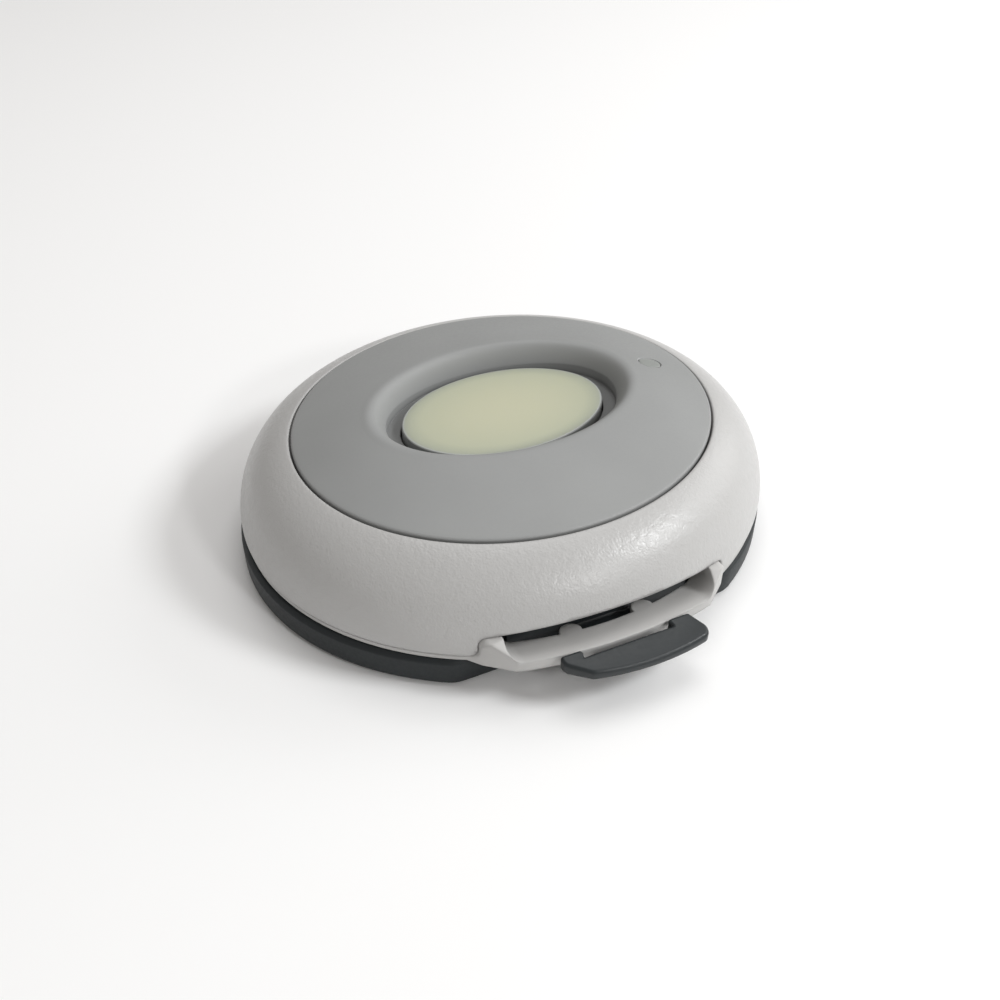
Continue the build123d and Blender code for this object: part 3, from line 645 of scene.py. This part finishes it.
class Surface:
    """A material in the making, with short ways to add and link its shader nodes."""

    def __init__(self, name):
        self.material = bpy.data.materials.new(name)
        self.material.use_nodes = True
        self.tree = self.material.node_tree
        self.tree.nodes.clear()
        self.shader = self.add("ShaderNodeBsdfPrincipled")
        output = self.add("ShaderNodeOutputMaterial")
        self.link(self.shader.outputs["BSDF"], output.inputs["Surface"])
        self.place = self.add("ShaderNodeTexCoord").outputs["Object"]

    def add(self, kind, **values):
        """A new node, with values for its inputs or its properties."""
        node = self.tree.nodes.new(kind)
        for key, value in values.items():
            if key in node.inputs:
                node.inputs[key].default_value = value
            else:
                setattr(node, key, value)
        return node

    def link(self, source, socket):
        """Links a source to a socket."""
        self.tree.links.new(source, socket)

    def feed(self, name, source):
        """Links a source to one of the shader's own sockets."""
        self.link(source, self.shader.inputs[name])

    def fix(self, name, value):
        """Sets one of the shader's own sockets."""
        self.shader.inputs[name].default_value = value

    def gloss(self, source, low, high):
        """Roughness that runs from low to high with a source."""
        self.feed("Roughness", self.ranged(source, low, high))

    def relief(self, source, depth, under=None):
        """Relief from a source, on top of the normal under it."""
        self.feed("Normal", self.bump(source, depth, under))

    def noise(self, size, detail=3.0, roughness=0.5):
        """Smooth noise whose lumps are about size millimetres across."""
        node = self.add(
            "ShaderNodeTexNoise", Scale=1 / (size * MM), Detail=detail, Roughness=roughness
        )
        self.link(self.place, node.inputs["Vector"])
        return node.outputs["Fac"]

    def axes(self):
        """The X, Y and Z of a place on the piece."""
        node = self.add("ShaderNodeSeparateXYZ")
        self.link(self.place, node.inputs["Vector"])
        return node.outputs

    def calculated(self, operation, *terms):
        """The result of an operation on sources and plain numbers."""
        node = self.add("ShaderNodeMath", operation=operation)
        for socket, term in zip(node.inputs, terms):
            if isinstance(term, float):
                socket.default_value = term
            else:
                self.link(term, socket)
        return node.outputs[0]

    def ranged(self, source, low, high, from_low=0.3, from_high=0.7):
        """A source's range carried over to another range."""
        node = self.add("ShaderNodeMapRange")
        node.inputs["From Min"].default_value = from_low
        node.inputs["From Max"].default_value = from_high
        node.inputs["To Min"].default_value = low
        node.inputs["To Max"].default_value = high
        self.link(source, node.inputs["Value"])
        return node.outputs["Result"]

    def mixed(self, factor, first, second):
        """A blend of two colours, each of them plain or a source."""
        node = self.add("ShaderNodeMix", data_type="RGBA")
        self.link(factor, node.inputs["Factor"])
        for name, colour in (("A", first), ("B", second)):
            if isinstance(colour, tuple):
                node.inputs[name].default_value = (*colour, 1)
            else:
                self.link(colour, node.inputs[name])
        return node.outputs["Result"]

    def mottled(self, size, colour, darker, lighter, detail=2.0):
        """A colour that drifts between a darker and a lighter tint in soft patches."""
        tint = self.ranged(self.noise(size, detail=detail), 0.0, 1.0)
        return self.mixed(tint, tinted(colour, darker), tinted(colour, lighter))

    def bump(self, height, depth, under=None):
        """Relief of a depth in millimetres, on top of the normal under it."""
        node = self.add("ShaderNodeBump", Strength=1.0, Distance=depth * MM)
        self.link(height, node.inputs["Height"])
        if under is not None:
            self.link(under, node.inputs["Normal"])
        return node.outputs["Normal"]

    def soft_edge(self, radius):
        """A normal that rounds sharp edges at a radius in millimetres."""
        return self.add("ShaderNodeBevel", Radius=radius * MM, samples=6).outputs["Normal"]


def plastic(
    name, colour, rough, grain=0.35, depth=0.01, mottle=0.03, edge=0.0, ior=1.5, painted_groove_shade=None
):
    """Moulded plastic: faint mottling, a fine grain and uneven gloss.

    The painted shade of the recess is two heights and a factor: the factor darkens the colour
    up to the lower height as painted shade, and it has faded out at the higher one.
    """
    made = Surface(name)
    shade = made.mottled(plastic_patch, colour, 1 - mottle, 1 + mottle)
    # Painted shade: the colour darkens low in the recess, where shade falls
    if painted_groove_shade is not None:
        low, high, factor = painted_groove_shade
        raised = made.ranged(made.axes()["Z"], 0.0, 1.0, low * MM, high * MM)
        shade = made.mixed(raised, tinted(colour, factor), shade)
    made.feed("Base Color", shade)
    fine = made.noise(grain, detail=2.0, roughness=0.6)
    made.gloss(fine, rough - plastic_play, rough + plastic_play)
    made.fix("IOR", ior)
    made.relief(fine, depth, under=made.soft_edge(edge) if edge else None)
    return made.material


def pebbled(name, colour, rough, size, depth, edge):
    """Moulded plastic with the rounded, slightly glossy pebble grain of a sparked tool."""
    made = Surface(name)
    made.feed("Base Color", made.mottled(pebble_patch, colour, pebble_dark, pebble_light))
    pebbles = made.noise(size, detail=1.0)
    lumps = made.noise(size * lump_size_ratio, detail=1.0)
    made.gloss(lumps, rough - glossier_lump, rough + duller_lump)
    coarse = made.bump(lumps, depth * lump_depth_ratio, under=made.soft_edge(edge))
    made.relief(pebbles, depth, under=coarse)
    return made.material


def glowing_plate(name):
    """Pale yellow-green translucent plate, warmer and lighter toward its middle."""
    made = Surface(name)
    place = made.axes()
    squares = []
    for axis, half in (("X", inlay_high.x), ("Y", inlay_high.y)):
        share = made.calculated("DIVIDE", place[axis], (half + plate_reach) * MM)
        squares.append(made.calculated("POWER", share, 2.0))
    ramp = made.add("ShaderNodeValToRGB")
    made.link(made.calculated("ADD", *squares), ramp.inputs["Fac"])
    stops = ramp.color_ramp.elements
    stops[0].color = (*plate_middle, 1)
    stops[1].color = (*plate_edge, 1)
    for share, colour in plate_stops:
        stops.new(share).color = (*colour, 1)
    made.feed("Base Color", ramp.outputs["Color"])
    made.fix("Subsurface Weight", 0.25)
    made.fix("Subsurface Radius", (0.8, 0.8, 0.5))
    made.fix("Subsurface Scale", 1.0 * MM)
    fine = made.noise(plate_grain, detail=2.0)
    made.gloss(fine, *plate_roughness)
    made.relief(fine, plate_grain_depth)
    return made.material


def metal(name, colour, rough):
    """Plated or brushed metal with fine scratches and uneven gloss."""
    made = Surface(name)
    made.fix("Metallic", 1.0)
    shade = made.mottled(metal_patch, colour, metal_dark, metal_light, detail=3.0)
    made.feed("Base Color", shade)
    scratches = made.noise(scratch_size, detail=4.0, roughness=0.7)
    made.gloss(scratches, rough - glossier_scratch, rough + duller_scratch)
    made.relief(scratches, scratch_depth)
    return made.material


def clear_plastic(name):
    """The light window: clear, faintly frosted plastic."""
    made = Surface(name)
    made.fix("Transmission Weight", 0.2)
    made.fix("IOR", 1.49)
    haze = made.noise(haze_size)
    made.feed("Base Color", made.mixed(haze, window_dark, window_light))
    made.gloss(haze, *window_roughness)
    made.relief(haze, haze_depth)
    return made.material


# Outer materials
shell_plastic = pebbled(
    "shell_plastic", (0.458, 0.454, 0.447), rough=0.34, size=0.2, depth=0.028, edge=0.3
)
cover_plastic = plastic(
    "cover_plastic", (0.47, 0.464, 0.454), rough=0.5, depth=0.002, mottle=0.015, edge=0.3
)
bezel_plastic = plastic(
    "bezel_plastic",
    (0.284, 0.289, 0.287),
    rough=0.55,
    grain=0.3,
    depth=0.003,
    # Painted shade darkens the recess between the lip and the button
    painted_groove_shade=(moat_height + painted_shade_margin, lip_height - painted_shade_margin, painted_shade_factor),
)
charcoal = plastic(
    "charcoal",
    (0.019, 0.023, 0.025),
    rough=0.55,
    grain=0.3,
    depth=0.006,
    mottle=0.08,
    ior=1.4,
)
latch_plastic = plastic(
    "latch_plastic",
    (0.018, 0.022, 0.024),
    rough=0.38,
    grain=0.3,
    depth=0.004,
    mottle=0.08,
    edge=0.2,
    ior=1.45,
)
# Dark grey button cap; its darkness also stands in as painted shade for the shadow line round
# the pale plate
rim_plastic_and_shade = plastic("rim_plastic_and_shade", (0.19, 0.195, 0.19), rough=0.4, depth=0.002, mottle=0.02)
pad_foam = plastic(
    "pad_foam", (0.05, 0.05, 0.05), rough=0.85, grain=0.25, depth=0.05, mottle=0.15
)
screw_steel = metal("screw_steel", (0.56, 0.56, 0.57), rough=0.3)
window_plastic = clear_plastic("window_plastic")
inlay_plastic = glowing_plate("inlay_plastic")

# Inner materials
silicone = plastic("silicone", (0.30, 0.30, 0.30), rough=0.6, depth=0.004)
seal_rubber = plastic("seal_rubber", (0.02, 0.02, 0.02), rough=0.7, depth=0.006, mottle=0.1)
contact_metal = metal("contact_metal", (0.78, 0.63, 0.33), rough=0.28)
cell_steel = metal("cell_steel", (0.66, 0.66, 0.66), rough=0.25)
shield_metal = metal("shield_metal", (0.62, 0.62, 0.60), rough=0.35)
board_green = plastic(
    "board_green", (0.02, 0.15, 0.06), rough=0.38, grain=0.6, depth=0.003, mottle=0.12
)
chip_black = plastic(
    "chip_black", (0.02, 0.02, 0.02), rough=0.5, grain=0.2, depth=0.004, mottle=0.1
)
stem_white = plastic("stem_white", (0.75, 0.75, 0.72), rough=0.45, depth=0.002)
ceramic = plastic("ceramic", (0.70, 0.67, 0.58), rough=0.5, depth=0.002, mottle=0.05)
lamp_resin = plastic("lamp_resin", (0.80, 0.76, 0.55), rough=0.2, depth=0.001)
small_part_body = plastic(
    "small_part_body", (0.20, 0.13, 0.08), rough=0.45, depth=0.002, mottle=0.2
)

# Outer pieces, each in place of its CAD node
finished(shell_skin(), "device", "top_shell", shell_plastic)
finished(bezel_skin(), "device", "bezel", bezel_plastic)
finished(inlay_skin(), "button", "glow_inlay", inlay_plastic)
back_cover = moulded("back_cover_body", "back_cover", cover_round)
finished(back_cover, "device", "back_cover", cover_plastic)
cradle = moulded("cradle_body", "cradle", cradle_round)
finished(cradle, "cradle", "cradle", charcoal)
finished(thumb_latch(), "latch", "latch_tab", latch_plastic)
button_cap = moulded("button_body", "button_cap", cap_round)
finished(button_cap, "button", "button_cap", rim_plastic_and_shade)
finished(window_skin(), "device", "light_pipe", window_plastic)
foam_pad = moulded("foam_pad", "mounting_pad", pad_round)
finished(foam_pad, "cradle", "mounting_pad", pad_foam)
finished(cover_screw_set(), "device", "cover_screws", screw_steel)

# Inner pieces keep their CAD shape and get their materials
for node, material in (
    ("gasket", seal_rubber),
    ("board_screws", screw_steel),
    ("circuit_board", board_green),
    ("microcontroller", chip_black),
    ("radio_shield", shield_metal),
    ("crystal", shield_metal),
    ("antenna", ceramic),
    ("led", lamp_resin),
    ("chip_parts", small_part_body),
    ("switch_body", chip_black),
    ("switch_stem", stem_white),
    ("coin_cell", cell_steel),
    ("negative_contact", contact_metal),
    ("positive_contact", contact_metal),
    ("return_skirt", silicone),
):
    nodes[node].data.materials.clear()
    nodes[node].data.materials.append(material)

# Floor
floor_half = 1500.0
floor_corners = [
    (x * floor_half, y * floor_half, 0) for x, y in ((-1, -1), (1, -1), (1, 1), (-1, 1))
]
floor = part_mesh("floor", floor_corners, [(0, 1, 2, 3)])
floor_paper = plastic("floor_paper", (0.93, 0.93, 0.93), rough=0.9, depth=0.0, mottle=0.0)
floor.data.materials.append(floor_paper)

# Light
world = bpy.data.worlds.new("studio")
world.use_nodes = True
background = world.node_tree.nodes["Background"]
background.inputs["Color"].default_value = (1.0, 0.97, 0.937, 1)
background.inputs["Strength"].default_value = 0.365
bpy.context.scene.world = world
bpy.context.scene.view_settings.view_transform = "Standard"


def aim(holder, place, target):
    """Puts a lamp or the camera at a place, looking at a target."""
    holder.location = place
    holder.rotation_euler = (target - place).to_track_quat("-Z", "Y").to_euler()


def lamp(name, place, size, power, colour=(1.0, 1.0, 1.0)):
    """A soft rectangular light at a place in metres, aimed at the object."""
    light = bpy.data.lights.new(name, "AREA")
    light.color = colour
    light.shape = "RECTANGLE"
    light.size, light.size_y = size
    light.energy = power
    aim(in_scene(name, light), Vector(place), Vector((0, 0, 0)))


lamp("key", (0.31, -0.22, 0.33), size=(0.12, 0.10), power=1.15, colour=(0.975, 0.99, 1.0))
lamp("low_front", (0.12, -0.40, 0.27), size=(0.06, 0.05), power=0.42)
lamp("side", (0.50, 0.05, 0.25), size=(0.3, 0.3), power=0.8)
lamp("top", (0.12, 0.15, 0.62), size=(0.4, 0.4), power=1.15)

# Camera at the photograph's angle
camera_place = Vector((-37.74, -81.50, 75.03)) * MM
camera_aim = Vector((-5.92, -12.08, 12.4)) * MM
camera_data = bpy.data.cameras.new("camera")
camera_data.lens = 39.6
camera_data.sensor_width = 36.0
camera_data.clip_start = 0.005
camera = in_scene("camera", camera_data)
aim(camera, camera_place, camera_aim)
bpy.context.scene.camera = camera
